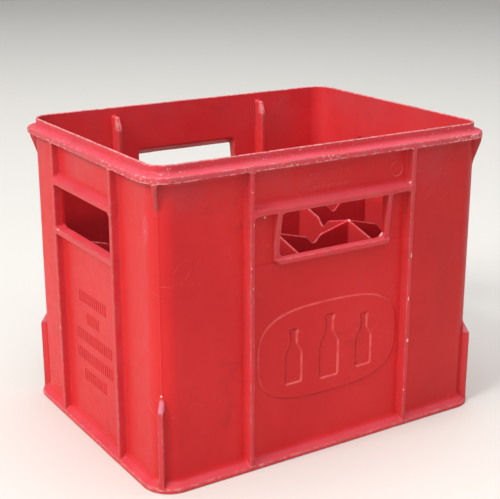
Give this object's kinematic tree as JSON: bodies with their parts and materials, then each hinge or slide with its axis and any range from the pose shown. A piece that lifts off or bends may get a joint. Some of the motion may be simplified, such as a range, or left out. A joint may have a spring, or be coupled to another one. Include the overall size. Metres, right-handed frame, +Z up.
{
  "type": "bottle crate",
  "caption": "Open-topped stackable plastic crate with bottle cells, a hand hole in every wall, a stacking lip round the rim and a matching rebate under the floor.",
  "frame": {"origin": "centre of the footprint, on the plane the crate stands on", "axes": "+X along the long side, +Y across the crate towards its back wall, +Z up"},
  "size_m": [0.4, 0.3, 0.315],
  "materials": {
    "crate_body": "satin, sun-faded and scuffed moulded polyethylene"
  },
  "bodies": {
    "root": {"back_foot_rail": "crate_body", "back_guide_ribs": "crate_body", "back_handle_hood": "crate_body", "back_handle_sill": "crate_body", "back_label_plaque": "crate_body", "back_left_corner_post": "crate_body", "back_mould_marks": "crate_body", "back_outer_ribs": "crate_body", "back_right_corner_post": "crate_body", "back_rim_rail": "crate_body", "back_wall_panel": "crate_body", "cross_divider_left": "crate_body", "cross_divider_middle": "crate_body", "cross_divider_right": "crate_body", "floor_lattice": "crate_body", "foot_corners": "crate_body", "foot_gussets": "crate_body", "front_foot_rail": "crate_body", "front_guide_ribs": "crate_body", "front_handle_hood": "crate_body", "front_handle_sill": "crate_body", "front_label_plaque": "crate_body", "front_left_corner_post": "crate_body", "front_mould_marks": "crate_body", "front_outer_ribs": "crate_body", "front_right_corner_post": "crate_body", "front_rim_rail": "crate_body", "front_wall_panel": "crate_body", "left_foot_rail": "crate_body", "left_handle_hood": "crate_body", "left_handle_sill": "crate_body", "left_mark_bars": "crate_body", "left_outer_ribs": "crate_body", "left_rim_rail": "crate_body", "left_wall_panel": "crate_body", "long_divider_back": "crate_body", "long_divider_front": "crate_body", "right_foot_rail": "crate_body", "right_handle_hood": "crate_body", "right_handle_sill": "crate_body", "right_mark_bars": "crate_body", "right_outer_ribs": "crate_body", "right_rim_rail": "crate_body", "right_wall_panel": "crate_body", "rim_corners": "crate_body", "rim_gussets": "crate_body"}
  },
  "joints": []
}
